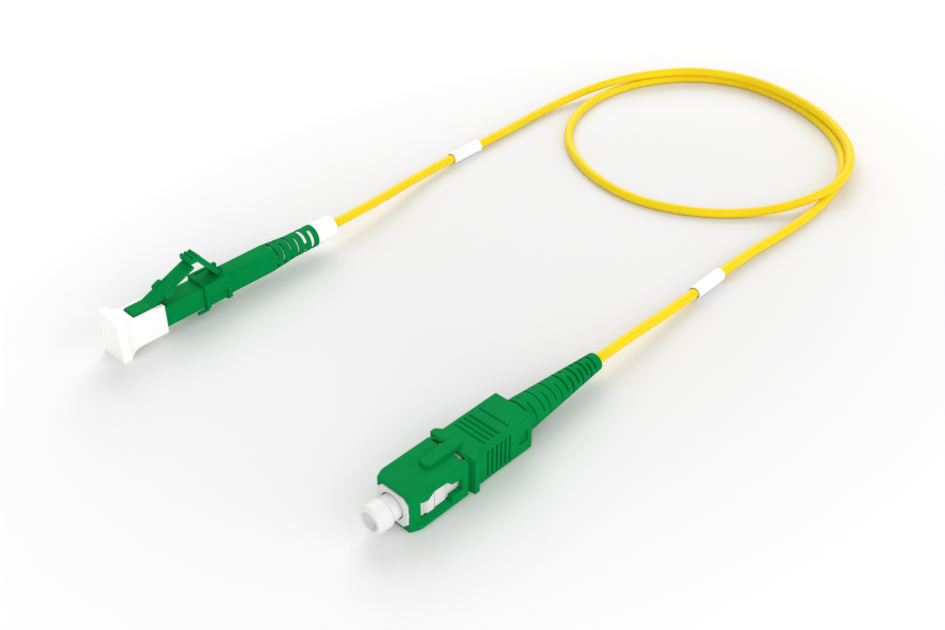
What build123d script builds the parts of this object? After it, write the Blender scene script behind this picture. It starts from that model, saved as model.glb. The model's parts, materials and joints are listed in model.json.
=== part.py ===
from build123d import *
import os
from math import atan, cos, degrees, pi, radians, sin, tan

# Simplex fibre patch cord: a push-pull plug and a small latched plug, both angle
# polished, joined by one two-millimetre jacketed fibre that lies in a loop.
# Both plugs point along -X and lie on z = 0. Plug parts are drawn on the plug's
# own axis, with x counted rearwards from the front of the large plug's housing.

# Where the plugs lie
PLUG_SPACING = 67.5
SC_AXIS_Z = 3.7
LC_AXIS_Z = 4.45

# Running and seating gaps, and how far a cutting body runs past the face that it opens
SLIDE_GAP = 0.1
SEAT_GAP = 0.02
HINGE_GAP = 0.05
OVERCUT = 1.0

# Cable, its 0.9 mm buffered fibre and its two marker sleeves
CABLE_D = 2.0
CABLE_BORE_D = 2.5
BUFFER_D = 0.9
BUFFER_BORE_D = 1.05
SLEEVE_D = 2.9
SLEEVE_BORE_D = 2.4
SLEEVE_LENGTH = 9.6
SC_SLEEVE_X = 86.0
LC_SLEEVE_X = 91.75
SC_SLEEVE_RUN = 2
LC_SLEEVE_RUN = 30

# Large plug: outer housing
SC_WIDTH = 9.0
SC_HEIGHT = 7.4
SC_EDGE = 0.35
SC_NOSE_LENGTH = 12.0
SC_NOSE_TAPER_LENGTH = 2.2
SC_NOSE_TAPER_DEPTH = 1.0
SC_BODY_REAR = 27.5
SC_GRIP_WIDTH = 8.5
SC_GRIP_HEIGHT = 7.3
SC_WAIST_LENGTH = 0.9
SC_WAIST_INSET = 0.45
SC_EAR_WIDTH = 10.1
SC_EAR_LENGTH = 2.1
SC_EAR_FRONT_SLOPE = 0.2
SC_EAR_FLAT = 1.0
SC_KEY_FRONT = 6.3
SC_KEY_LENGTH = 8.3
SC_KEY_WIDTH = 2.3
SC_KEY_HEIGHT = 0.7
SC_KEY_ROOT = 0.3
SC_KEY_ROUND = 0.2
SC_GAP_X = 12.3
SC_GAP_ARC_R = 25.0
SC_GAP_WIDTH = 0.85
SC_GROOVE_WIDTH = 0.4
SC_GROOVE_DEPTH = 0.3
SC_TOP_GROOVES = [(17.0, 0.4), (18.1, 0.4), (19.2, 0.45), (20.3, 0.6), (22.7, 0.4)]
SC_TOP_GROOVE_SPAN = 6.6
SC_SIDE_GROOVE_COUNT = 6
SC_SIDE_GROOVE_FRONT = 16.85
SC_SIDE_GROOVE_PITCH = 1.04
SC_SIDE_GROOVE_SPAN = 5.4
SC_RECESS_X = 25.5
SC_RECESS_LENGTH = 2.1
SC_RECESS_HEIGHT = 2.3
SC_RECESS_DEPTH = 0.35
SC_WINDOW_TOP = [(1.75, 2.05), (3.25, 1.75), (4.6, 2.7), (7.4, 2.5), (8.4, 1.4), (9.5, 1.3), (10.8, 1.0)]
SC_WINDOW_FLOOR = -2.1
SC_WINDOW_STEP = 8.4
SC_WINDOW_STEP_FLOOR = -1.25
SC_LEDGE_LEAD = 0.8
SC_LEDGE_DEPTH = 0.9
SC_LEDGE_DROP = 0.85

# Large plug: inner frame
FRAME_FRONT = -0.3
FRAME_REAR = 19.2
FRAME_WIDTH = 6.8
FRAME_HEIGHT = 6.0
FRAME_EDGE = 1.05
FRAME_RIM_EDGE = 0.15
FRAME_BORE_D = 4.9
FRAME_WEB_FRONT = 6.6
FRAME_WEB_REAR = 7.8
FRAME_WEB_BORE_D = 2.9
FRAME_CHAMBER_D = 5.0
FRAME_RIDGE_HEIGHT = 3.3
FRAME_RIDGE_FRONT = 3.05
FRAME_RIDGE_CREST = (3.65, 5.0)
FRAME_RIDGE_PROUD = 0.5
FRAME_GROOVE_REAR = 5.25
FRAME_GROOVE_PROUD = 0.15
FRAME_PLATE_REAR = 7.5
FRAME_PLATE_PROUD = 0.35
FRAME_SNAP_X = 17.1
FRAME_SNAP_LENGTH = 1.8
FRAME_SNAP_HEIGHT = 1.8

# Large plug: ferrule train
SC_FERRULE_D = 2.499
SC_FERRULE_TIP = -0.7
SC_FERRULE_LENGTH = 10.5
FERRULE_CONE_SHARE = 0.35
FIBRE_REST_GAP = 0.2
SC_FLANGE_D = 4.5
SC_FLANGE_LENGTH = 2.6
SC_FLANGE_TUBE_D = 2.1
SC_FLANGE_TUBE_END = 17.0
FERRULE_TRAVEL = 1.0
APC_ANGLE = 8.0
SC_SPRING_D = 4.2
SC_SPRING_WIRE = 0.5
SC_SPRING_TURNS = 5
SC_SPRING_SEAT = 15.2

# Large plug: backbone, crimp sleeve and boot
BACKBONE_BORE_D = 2.6
BACKBONE_FLANGE_D = 5.8
BACKBONE_FLANGE_LENGTH = 1.0
BACKBONE_TUBE_D = 3.4
BACKBONE_REAR = 25.4
BACKBONE_BARB_INSET = 0.2
CRIMP_STEP_GAP = 0.1
CRIMP_STEP_LENGTH = 0.8
SC_CRIMP_D = 4.3
SC_CRIMP_FRONT = 20.5
SC_CRIMP_NECK_D = 2.9
SC_CRIMP_REAR = 29.6
SC_BOOT_FRONT = 21.5
SC_BOOT_WIDTH = 6.9
SC_BOOT_HEIGHT = 6.2
SC_BOOT_TAPER_START = 28.0
SC_BOOT_TIP = 49.2
SC_BOOT_TIP_D = 3.5
SC_BOOT_BORE_STEP = 0.9
SC_COLLAR_LINE = (28.3, 0.3, 0.25)
SC_THIN_SLITS = [30.0, 32.2, 33.8, 35.6, 37.3]
SC_THIN_SLIT_WIDTH = 0.22
SC_WIDE_SLITS = [39.0, 40.6, 42.1, 43.5, 44.8, 46.0, 47.3]
SC_WIDE_SLIT_WIDTH = 0.4
SC_SLIT_DEPTH = 0.5
SC_SLIT_HALF_SPAN = 75.0

# Large plug: dust cap
SC_CAP_FRONT = -5.0
SC_CAP_HEAD_REAR = -2.0
SC_CAP_REAR = 5.8
SC_CAP_HEAD_D = 5.15
SC_CAP_NECK_D = 4.45
SC_CAP_DIMPLE_D = 3.4
SC_CAP_DIMPLE_DEPTH = 1.2
SC_CAP_ROUND = 0.5
SC_CAP_HEAD_EDGE = 0.3
SC_CAP_BORE_LEAD = 0.8
SC_CAP_LEAD_IN = 0.35
SC_CAP_FIT = 0.03

# Small plug: housing
LC_NOSE = 4.52
LC_NOSE_EDGE = 0.3
LC_FRONT = -2.6
LC_BODY = 4.2
LC_BODY_FRONT = 12.4
LC_BODY_REAR = 18.5
LC_BODY_OVERLAP = 0.5
LC_BORE_D = 3.2
LC_WEB_FRONT = 1.4
LC_WEB_REAR = 2.3
LC_WEB_BORE_D = 1.7
LC_CHAMBER_D = 3.3

# Small plug: ferrule train
LC_FERRULE_D = 1.249
LC_FERRULE_TIP = -3.9
LC_FERRULE_LENGTH = 6.9
LC_FLANGE_D = 3.0
LC_FLANGE_LENGTH = 2.0
LC_FLANGE_TUBE_D = 1.7
LC_FLANGE_TUBE_END = 10.4
LC_SPRING_D = 2.9
LC_SPRING_WIRE = 0.35
LC_SPRING_TURNS = 6
LC_SPRING_SEAT = 9.2

# Small plug: spring stop, crimp sleeve, boot and tail tube
STOP_D = 3.2
STOP_BORE_D = 2.0
STOP_FLANGE = 4.0
STOP_FLANGE_CORNER = 0.5
STOP_STEP = 0.2
STOP_FLANGE_REAR = 19.4
STOP_TUBE_D = 2.8
STOP_REAR = 24.2
LC_CRIMP_D = 3.5
LC_CRIMP_FRONT = 19.8
LC_CRIMP_NECK_D = 2.7
LC_CRIMP_REAR = 28.0
LC_BOOT_FRONT = LC_BODY_REAR + SEAT_GAP
LC_BOOT_SIZE = 4.9
LC_BOOT_CORNER = 1.3
LC_BOOT_REAR = 40.8
LC_BOOT_REAR_D = 4.8
LC_BOOT_ROUND_START = 24.0
LC_BOOT_ROUND_END = 35.0
LC_BOOT_ROUND_SHARE = 0.68
LC_BOOT_BORE_STEP = 0.9
LC_TAIL_SEAT = 0.5
LC_TAIL_FRONT = 28.6
LC_TAIL_REAR = 46.1
LC_TAIL_EDGE = 0.3
LC_TAIL_D = 4.2
LC_TAIL_END_D = 4.6
LC_TAIL_BORE_D = 3.0
LC_SLITS = [(30.0, 0.45), (31.8, 0.45), (33.7, 0.4), (35.5, 0.4), (37.4, 0.85), (39.2, 0.85)]
LC_SLIT_HALF_SPAN = 75.0

# Small plug: trigger clip, trigger and latch arm
CLIP_WIDTH = 4.8
CLIP_COLLAR_WIDTH = 5.6
CLIP_COLLAR_LENGTH = 0.85
CLIP_COLLAR_DROP = 2.8
CLIP_FRONT_RISE = 2.95
CLIP_REAR_RISE = 3.4
CLIP_REAR_COLLAR = 17.5
CLIP_CORNER = 0.4
CLIP_COLLAR_CORNER = 0.8
CLIP_RAIL_WIDTH = 0.55
CLIP_RAIL_RISE = 2.85
CLIP_DECK_RISE = 2.65
CLIP_TAB_FRONT = 10.3
CLIP_TAB_OVERLAP = 0.4
CLIP_CHEEK_FRONT = 15.0
CLIP_CHEEK_MIDDLE = (16.4, 2.8)
CLIP_CHANNEL_FRONT = 16.4
TRIGGER_WIDTH = 2.9
TRIGGER_ROOT = (17.0, 3.0)
TRIGGER_ROOT_D = 1.0
TRIGGER_THICKNESS = 1.1
TRIGGER_PAD = (12.95, 8.3)
TRIGGER_PAD_LENGTH = 2.7
TRIGGER_PAD_HEIGHT = 1.0
TRIGGER_PAD_REAR = 0.45
TRIGGER_PAD_BEVEL = 0.25
TRIGGER_RIDGE_D = 0.8
TRIGGER_RIDGE_PITCH = 0.9
TRIGGER_RIDGE_SINK = 0.05
ARM_WIDTH = 3.2
ARM_ROOT = (-1.7, 2.5)
ARM_ROOT_D = 0.9
ARM_THICKNESS = 0.75
ARM_TOP = 3.4
ARM_LEAD = 0.35
ARM_LEVEL_END = 1.4
ARM_END = (11.2, 7.5)
ARM_LUG_X = 5.3
ARM_LUG_LENGTH = 2.3
ARM_LUG_WIDTH = 4.4
ARM_LUG_HEIGHT = 1.2
ARM_LUG_ROOT = 0.3
ARM_POCKET_DEPTH = 0.38
ARM_POCKET_REAR = 4.4

# Small plug: dust cap
LC_CAP_FRONT = -6.9
LC_CAP_FLANGE_REAR = -5.1
LC_CAP_FLARE_END = -2.4
LC_CAP_REAR = 3.5
LC_CAP_FLANGE_WIDTH = 6.3
LC_CAP_FLANGE_HEIGHT = 8.9
LC_CAP_WIDTH = 5.3
LC_CAP_HEIGHT = 6.1
LC_CAP_SLOT_WIDTH = 3.5
LC_CAP_BORE_FRONT = -5.6
LC_CAP_FLARE_MIDDLE = (0.62, 0.3)

# The object's middle in plan: the plugs' own box is centred on the origin
CENTRE_X = (SC_BOOT_TIP + LC_CAP_FRONT) / 2
SC_AXIS_Y = -(PLUG_SPACING + LC_CAP_FLANGE_WIDTH / 2 - SC_EAR_WIDTH / 2) / 2
SC_PLACE = Pos(-CENTRE_X, SC_AXIS_Y, SC_AXIS_Z)
LC_PLACE = Pos(-CENTRE_X, SC_AXIS_Y + PLUG_SPACING, LC_AXIS_Z)

# The cable's route, chosen by hand: from the large plug's crimp, once round the
# loop on the floor, then up over itself and back along the top of the first turn
CABLE_SC_END = 26.0
CABLE_LC_END = 25.0
CORNER_SHARE = 0.45
CABLE_ROUTE = [
    (4.85, -32.8, 3.7),
    (29.85, -32.8, 3.7),
    (55.05, -31.9, 1.6),
    (78.65, -31.1, 1.3),
    (93.35, -32.3, 1.0),
    (107.85, -32.1, 1.0),
    (120.85, -29.3, 1.0),
    (132.35, -23.1, 1.0),
    (140.85, -13.4, 1.0),
    (146.35, -0.9, 1.0),
    (147.85, 13.1, 1.0),
    (142.35, 25.1, 1.0),
    (131.35, 33.4, 1.0),
    (116.85, 36.9, 1.0),
    (102.35, 34.3, 1.0),
    (90.85, 26.6, 1.0),
    (83.35, 14.1, 1.0),
    (80.85, -0.4, 1.0),
    (85.85, -13.9, 1.0),
    (94.85, -23.7, 1.1),
    (104.85, -29.9, 2.4),
    (116.85, -31.9, 3.15),
    (129.85, -26.6, 3.15),
    (139.35, -16.4, 3.15),
    (145.15, -3.4, 3.15),
    (147.05, 11.6, 3.15),
    (141.85, 24.6, 3.15),
    (131.25, 33.1, 3.15),
    (118.35, 38.7, 2.6),
    (104.35, 41.7, 1.2),
    (83.35, 40.7, 1.2),
    (57.85, 40.1, 1.7),
    (30.85, 34.7, 4.45),
    (3.85, 34.7, 4.45),
]


def turned(*outline):
    """A solid turned about the plug's axis from its closed (x, radius) outline."""
    return revolve(make_face(Polyline(*outline, close=True)), Axis.X)


def chamfered_bar(x_front, x_rear, width, height, edge):
    """A bar along x whose section is a rectangle with its four corners cut off."""
    section = chamfer(Rectangle(width, height).vertices(), edge)
    return Pos(x_front, 0, 0) * extrude(Plane.YZ * section, x_rear - x_front)


def rounded_bar(x_front, x_rear, width, height, corner):
    """A bar along x whose section is a rectangle with rounded corners."""
    return Pos(x_front, 0, 0) * extrude(Plane.YZ * RectangleRounded(width, height, corner), x_rear - x_front)


def side_profile(points, width):
    """A closed (x, z) outline extruded evenly to both sides of the plug's axis."""
    return extrude(Plane.XZ * make_face(Polyline(*points, close=True)), width / 2, both=True)


def coil_spring(x_front, x_rear, outer_d, wire_d, turns):
    """A compression spring along x, its wire ends inside the two seats."""
    length = x_rear - x_front - wire_d
    pitch = length / turns
    radius = (outer_d - wire_d) / 2
    line = Helix(pitch, length, radius, center=(x_front + wire_d / 2, 0, 0), direction=(1, 0, 0))
    wire_section = Plane(origin=line @ 0, z_dir=line % 0) * RegularPolygon(wire_d / 2, 6)
    return sweep(wire_section, path=line, is_frenet=True)


def slit_pair(x, width, outer_r, core_r, half_span, on_top):
    """Two facing arc-shaped cuts round the axis: at the top and bottom, or at the two sides."""
    corners = [(0, 0)]
    for share in (-1.0, -0.5, 0.0, 0.5, 1.0):
        turn = radians(half_span * share)
        corners.append((2 * outer_r * cos(turn), 2 * outer_r * sin(turn)))
    arc = (Circle(outer_r) - Circle(core_r)) & make_face(Polyline(*corners, close=True))
    pair = arc + Rot(0, 0, 180) * arc
    if on_top:
        pair = Rot(0, 0, 90) * pair
    return Pos(x - width / 2, 0, 0) * extrude(Plane.YZ * pair, width)


def across_axis(point, diameter, length):
    """A round bar across the plug at one (x, z) point, such as a hinge barrel or its seat."""
    return Pos(point[0], 0, point[1]) * Rot(90, 0, 0) * Cylinder(diameter / 2, length)


def sc_ears():
    """The grip's two ears: steep in front, flat on top and sloping back to the grip's side."""
    front = SC_NOSE_LENGTH + SC_WAIST_LENGTH
    flat_front = front + SC_EAR_FRONT_SLOPE
    side = SC_GRIP_WIDTH / 2 - SC_EDGE
    ear = SC_EAR_WIDTH / 2
    plan = make_face(Polyline(
        (front, side), (flat_front, ear), (flat_front + SC_EAR_FLAT, ear), (front + SC_EAR_LENGTH, side),
        (front + SC_EAR_LENGTH, -side), (flat_front + SC_EAR_FLAT, -ear), (flat_front, -ear), (front, -side),
        close=True))
    return extrude(plan, SC_GRIP_HEIGHT / 2, both=True)


def sc_window_cuts():
    """The side windows, right through the nose, with the sloping ledge under each one's front part."""
    front = SC_WINDOW_TOP[0][0]
    rear = SC_WINDOW_TOP[-1][0]
    floor = [(rear, SC_WINDOW_STEP_FLOOR), (SC_WINDOW_STEP, SC_WINDOW_STEP_FLOOR),
             (SC_WINDOW_STEP, SC_WINDOW_FLOOR), (front, SC_WINDOW_FLOOR)]
    window = side_profile(SC_WINDOW_TOP + floor, SC_WIDTH + OVERCUT)
    outer = SC_WIDTH / 2 + SLIDE_GAP
    inner = SC_WIDTH / 2 - SC_LEDGE_DEPTH
    ledge_face = make_face(Polyline((inner, SC_WINDOW_FLOOR), (outer, SC_WINDOW_FLOOR),
                                    (outer, SC_WINDOW_FLOOR - SC_LEDGE_DROP), close=True))
    ledge_front = front - SC_LEDGE_LEAD
    ledge = Pos(ledge_front, 0, 0) * extrude(Plane.YZ * ledge_face, SC_WINDOW_STEP - ledge_front)
    return window + ledge + mirror(ledge, about=Plane.XZ)


def sc_outer_housing():
    """Green push-pull housing: nose with key and side windows, ears, and a ribbed grip."""
    half = SC_WIDTH / 2
    nose = chamfered_bar(0, SC_NOSE_LENGTH, SC_WIDTH, SC_HEIGHT, SC_EDGE)
    plan = make_face(Polyline(
        (0, half - SC_NOSE_TAPER_DEPTH), (SC_NOSE_TAPER_LENGTH, half), (SC_NOSE_LENGTH, half),
        (SC_NOSE_LENGTH, -half), (SC_NOSE_TAPER_LENGTH, -half), (0, SC_NOSE_TAPER_DEPTH - half), close=True))
    nose &= extrude(plan, SC_HEIGHT, both=True)
    grip_front = SC_NOSE_LENGTH + SC_WAIST_LENGTH
    waist = chamfered_bar(SC_NOSE_LENGTH, grip_front, SC_GRIP_WIDTH - SC_WAIST_INSET,
                          SC_GRIP_HEIGHT - SC_WAIST_INSET / 2, SC_EDGE)
    grip = chamfered_bar(grip_front, SC_BODY_REAR, SC_GRIP_WIDTH, SC_GRIP_HEIGHT, SC_EDGE)
    body = nose + waist + grip + sc_ears()
    channel_width = FRAME_WIDTH + 2 * SLIDE_GAP
    channel_height = FRAME_HEIGHT + 2 * SLIDE_GAP
    body -= chamfered_bar(-OVERCUT, FRAME_REAR + 2 * SLIDE_GAP, channel_width, channel_height, FRAME_EDGE)
    body -= extrude(Plane.YZ * Ellipse(SC_BOOT_WIDTH / 2 + SLIDE_GAP, SC_BOOT_HEIGHT / 2 + SLIDE_GAP),
                    SC_BODY_REAR + OVERCUT)
    body -= sc_window_cuts()
    gap_ring = Circle(SC_GAP_ARC_R + SC_GAP_WIDTH / 2) - Circle(SC_GAP_ARC_R - SC_GAP_WIDTH / 2)
    gap_band = Pos(SC_GAP_X, 0) * Rectangle(SC_KEY_LENGTH, channel_width)
    body -= extrude(Pos(SC_GAP_X - SC_GAP_ARC_R, 0) * gap_ring & gap_band, SC_HEIGHT)
    root_z = SC_GRIP_HEIGHT / 2 - SC_KEY_ROOT
    key = Pos(SC_KEY_FRONT + SC_KEY_LENGTH / 2, 0, root_z) * extrude(
        SlotOverall(SC_KEY_LENGTH, SC_KEY_WIDTH), SC_HEIGHT / 2 + SC_KEY_HEIGHT - root_z)
    body += fillet(key.edges().group_by(Axis.Z)[-1], SC_KEY_ROUND)
    top = SC_GRIP_HEIGHT / 2
    for x, width in SC_TOP_GROOVES:
        body -= Pos(x, 0, top) * Rot(90, 0, 0) * Cylinder(width / 2, SC_TOP_GROOVE_SPAN)
        body -= Pos(x, 0, -top) * Rot(90, 0, 0) * Cylinder(width / 2, SC_TOP_GROOVE_SPAN)
    for side in (-SC_GRIP_WIDTH / 2, SC_GRIP_WIDTH / 2):
        for index in range(SC_SIDE_GROOVE_COUNT):
            x = SC_SIDE_GROOVE_FRONT + index * SC_SIDE_GROOVE_PITCH
            body -= Pos(x, side, 0) * Box(SC_GROOVE_WIDTH, 2 * SC_GROOVE_DEPTH, SC_SIDE_GROOVE_SPAN)
        body -= Pos(SC_RECESS_X, side, 0) * Box(SC_RECESS_LENGTH, 2 * SC_RECESS_DEPTH, SC_RECESS_HEIGHT)
    return body


def sc_plug_frame():
    """White inner frame: guides the ferrule train and carries the side ridges seen in the windows."""
    frame = chamfered_bar(FRAME_FRONT, FRAME_REAR, FRAME_WIDTH, FRAME_HEIGHT, FRAME_EDGE)
    frame = chamfer(frame.edges().group_by(Axis.X)[0], FRAME_RIM_EDGE)
    side = FRAME_WIDTH / 2
    crest_front, crest_rear = FRAME_RIDGE_CREST
    ridge = extrude(make_face(Polyline(
        (FRAME_RIDGE_FRONT, 0), (FRAME_RIDGE_FRONT, side), (crest_front, side + FRAME_RIDGE_PROUD),
        (crest_rear, side + FRAME_RIDGE_PROUD), (crest_rear, side + FRAME_GROOVE_PROUD),
        (FRAME_GROOVE_REAR, side + FRAME_GROOVE_PROUD), (FRAME_GROOVE_REAR, side + FRAME_PLATE_PROUD),
        (FRAME_PLATE_REAR, side + FRAME_PLATE_PROUD), (FRAME_PLATE_REAR, 0), close=True)),
        FRAME_RIDGE_HEIGHT / 2, both=True)
    frame += ridge + mirror(ridge, about=Plane.XZ)
    frame -= turned((FRAME_FRONT - OVERCUT, 0), (FRAME_FRONT - OVERCUT, FRAME_BORE_D / 2),
                    (FRAME_WEB_FRONT, FRAME_BORE_D / 2), (FRAME_WEB_FRONT, FRAME_WEB_BORE_D / 2),
                    (FRAME_WEB_REAR, FRAME_WEB_BORE_D / 2), (FRAME_WEB_REAR, FRAME_CHAMBER_D / 2),
                    (FRAME_REAR + OVERCUT, FRAME_CHAMBER_D / 2), (FRAME_REAR + OVERCUT, 0))
    return frame - Pos(FRAME_SNAP_X, 0, 0) * Box(FRAME_SNAP_LENGTH, FRAME_WIDTH + OVERCUT, FRAME_SNAP_HEIGHT)


def ferrule(tip, length, diameter):
    """Zirconia ferrule with a coned nose and an end face ground at the angle-polish slope."""
    radius = diameter / 2
    cone = radius * FERRULE_CONE_SHARE
    blank = turned((tip, 0), (tip, radius - cone), (tip + 2 * cone, radius), (tip + length, radius),
                   (tip + length, 0))
    cut = Pos(tip - OVERCUT, 0, 0) * Box(2 * OVERCUT, 3 * diameter, 3 * diameter)
    slope = Pos(tip + cone / 2, 0, 0) * Rot(0, -APC_ANGLE, 0) * Pos(-tip, 0, 0) * cut
    return blank - slope


def ferrule_flange(web_rear, ferrule_rear, flange_d, length, tube_d, tube_end, ferrule_d):
    """Metal flange pressed on the ferrule: a six-sided collar and a tail tube for the fibre."""
    front = web_rear + SEAT_GAP
    collar = Pos(front, 0, 0) * extrude(Plane.YZ * RegularPolygon(flange_d / 2, 6), length)
    solid = collar + turned((front, 0), (front, tube_d / 2), (tube_end, tube_d / 2), (tube_end, 0))
    solid -= turned((front - OVERCUT, 0), (front - OVERCUT, ferrule_d / 2), (ferrule_rear, ferrule_d / 2),
                    (ferrule_rear, 0))
    solid -= turned((front, 0), (front, BUFFER_BORE_D / 2), (tube_end + OVERCUT, BUFFER_BORE_D / 2),
                    (tube_end + OVERCUT, 0))
    return solid


def sc_backbone():
    """Metal rear body: its tube stops the spring, its barbs snap in the frame, its tail takes the crimp."""
    bore = BACKBONE_BORE_D / 2
    seat = FRAME_CHAMBER_D / 2 - SEAT_GAP
    flange_rear = FRAME_REAR + BACKBONE_FLANGE_LENGTH
    solid = turned((SC_SPRING_SEAT, bore), (SC_SPRING_SEAT, seat), (FRAME_REAR, seat),
                   (FRAME_REAR, BACKBONE_FLANGE_D / 2), (flange_rear, BACKBONE_FLANGE_D / 2),
                   (flange_rear, BACKBONE_TUBE_D / 2), (BACKBONE_REAR, BACKBONE_TUBE_D / 2),
                   (BACKBONE_REAR, bore))
    barb_width = FRAME_WIDTH - 2 * BACKBONE_BARB_INSET
    barb = Pos(FRAME_SNAP_X, 0, 0) * Box(
        FRAME_SNAP_LENGTH - 2 * SEAT_GAP, barb_width, FRAME_SNAP_HEIGHT - 2 * SEAT_GAP)
    root = seat - BACKBONE_BARB_INSET
    barb -= turned((SC_SPRING_SEAT, 0), (SC_SPRING_SEAT, root), (FRAME_REAR, root), (FRAME_REAR, 0))
    return solid + barb


def crimp_sleeve(front, step, rear, outer_d, inner_d, neck_d):
    """Crimp sleeve: wide over the tail tube, stepped down on to the cable jacket."""
    neck_bore = CABLE_D / 2 + SEAT_GAP
    inner = inner_d / 2 + SEAT_GAP
    return turned((front, inner), (front, outer_d / 2), (step, outer_d / 2),
                  (step + CRIMP_STEP_LENGTH, neck_d / 2), (rear, neck_d / 2), (rear, neck_bore), (step, neck_bore), (step, inner))


def sc_boot():
    """Green tapered boot, oval where it enters the housing and round at its tip, with slits set crosswise."""
    base = Ellipse(SC_BOOT_WIDTH / 2, SC_BOOT_HEIGHT / 2)
    boot = Pos(SC_BOOT_FRONT, 0, 0) * extrude(Plane.YZ * base, SC_BOOT_TAPER_START - SC_BOOT_FRONT)
    boot += loft([Plane.YZ.offset(SC_BOOT_TAPER_START) * base,
                  Plane.YZ.offset(SC_BOOT_TIP) * Ellipse(SC_BOOT_TIP_D / 2, SC_BOOT_TIP_D / 2)])
    crimp = SC_CRIMP_D / 2 + SEAT_GAP
    neck = SC_CRIMP_NECK_D / 2 + SEAT_GAP
    bore = CABLE_BORE_D / 2
    boot -= turned((SC_BOOT_FRONT - OVERCUT, 0), (SC_BOOT_FRONT - OVERCUT, crimp),
                   (BACKBONE_REAR + CRIMP_STEP_GAP, crimp),
                   (BACKBONE_REAR + CRIMP_STEP_GAP + SC_BOOT_BORE_STEP, neck), (SC_CRIMP_REAR, neck),
                   (SC_CRIMP_REAR + SC_BOOT_BORE_STEP, bore), (SC_BOOT_TIP + OVERCUT, bore),
                   (SC_BOOT_TIP + OVERCUT, 0))
    line_x, line_width, line_depth = SC_COLLAR_LINE
    line = Ellipse(SC_BOOT_WIDTH / 2, SC_BOOT_WIDTH / 2) - Circle(boot_radius(line_x) - line_depth)
    boot -= Pos(line_x, 0, 0) * extrude(Plane.YZ * line, line_width)
    slits = [(x, SC_THIN_SLIT_WIDTH) for x in SC_THIN_SLITS] + [(x, SC_WIDE_SLIT_WIDTH) for x in SC_WIDE_SLITS]
    for index, (x, width) in enumerate(slits):
        radius = boot_radius(x)
        boot -= slit_pair(x, width, radius + OVERCUT, radius - SC_SLIT_DEPTH, SC_SLIT_HALF_SPAN, index % 2 == 1)
    return boot


def boot_radius(x):
    """Half the large boot's height at one place along its taper."""
    share = (x - SC_BOOT_TAPER_START) / (SC_BOOT_TIP - SC_BOOT_TAPER_START)
    return (SC_BOOT_HEIGHT + (SC_BOOT_TIP_D - SC_BOOT_HEIGHT) * share) / 2


def sc_dust_cap():
    """White dust cap: mushroom head with a dimple, and a sleeve that fits on the ferrule."""
    head = SC_CAP_HEAD_D / 2
    neck = SC_CAP_NECK_D / 2
    outline = Polyline((SC_CAP_FRONT, 0), (SC_CAP_FRONT, head - SC_CAP_ROUND)) \
        + JernArc((SC_CAP_FRONT, head - SC_CAP_ROUND), (0, 1), SC_CAP_ROUND, -90)
    rest = Polyline((SC_CAP_FRONT + SC_CAP_ROUND, head), (SC_CAP_HEAD_REAR - SC_CAP_HEAD_EDGE, head),
                    (SC_CAP_HEAD_REAR, head - SC_CAP_HEAD_EDGE),
                    (SC_CAP_HEAD_REAR, neck), (SC_CAP_REAR, neck), (SC_CAP_REAR, 0), (SC_CAP_FRONT, 0))
    cap = revolve(make_face(outline + rest), Axis.X)
    dimple = SC_CAP_DIMPLE_D / 2
    floor_x = SC_CAP_FRONT + SC_CAP_DIMPLE_DEPTH
    cap -= turned((SC_CAP_FRONT - OVERCUT, 0), (SC_CAP_FRONT - OVERCUT, dimple), (floor_x, dimple),
                  (floor_x, 0))
    bore = SC_FERRULE_D / 2 + SC_CAP_FIT
    bore_front = SC_FERRULE_TIP - SC_CAP_BORE_LEAD
    mouth = bore + SC_CAP_LEAD_IN
    cap -= turned((bore_front, 0), (bore_front, bore), (SC_CAP_REAR - SC_CAP_LEAD_IN, bore),
                  (SC_CAP_REAR, mouth), (SC_CAP_REAR + OVERCUT, mouth), (SC_CAP_REAR + OVERCUT, 0))
    return cap


def lc_housing():
    """Green square-nosed body: adapter bore, spring chamber, and a seat for the latch arm's root."""
    nose = rounded_bar(LC_FRONT, LC_BODY_FRONT, LC_NOSE, LC_NOSE, LC_NOSE_EDGE)
    nose += rounded_bar(LC_BODY_FRONT - LC_BODY_OVERLAP, LC_BODY_REAR, LC_BODY, LC_BODY, LC_NOSE_EDGE)
    bore = LC_BORE_D / 2
    web = LC_WEB_BORE_D / 2
    chamber = LC_CHAMBER_D / 2
    nose -= turned((LC_FRONT - OVERCUT, 0), (LC_FRONT - OVERCUT, bore), (LC_WEB_FRONT, bore),
                   (LC_WEB_FRONT, web), (LC_WEB_REAR, web), (LC_WEB_REAR, chamber),
                   (LC_BODY_REAR + OVERCUT, chamber), (LC_BODY_REAR + OVERCUT, 0))
    top = LC_NOSE / 2
    slope_start = ARM_ROOT[0] + ARM_ROOT_D / 2 + HINGE_GAP
    nose -= side_profile([(slope_start, top + OVERCUT), (slope_start, top - SEAT_GAP),
                          (ARM_LEVEL_END, top - ARM_POCKET_DEPTH),
                          (ARM_POCKET_REAR, top - ARM_POCKET_DEPTH / 2), (ARM_POCKET_REAR, top + OVERCUT)],
                         ARM_WIDTH + 2 * SLIDE_GAP)
    return nose - across_axis(ARM_ROOT, ARM_ROOT_D + 2 * HINGE_GAP, ARM_WIDTH + 2 * SLIDE_GAP)


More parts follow.
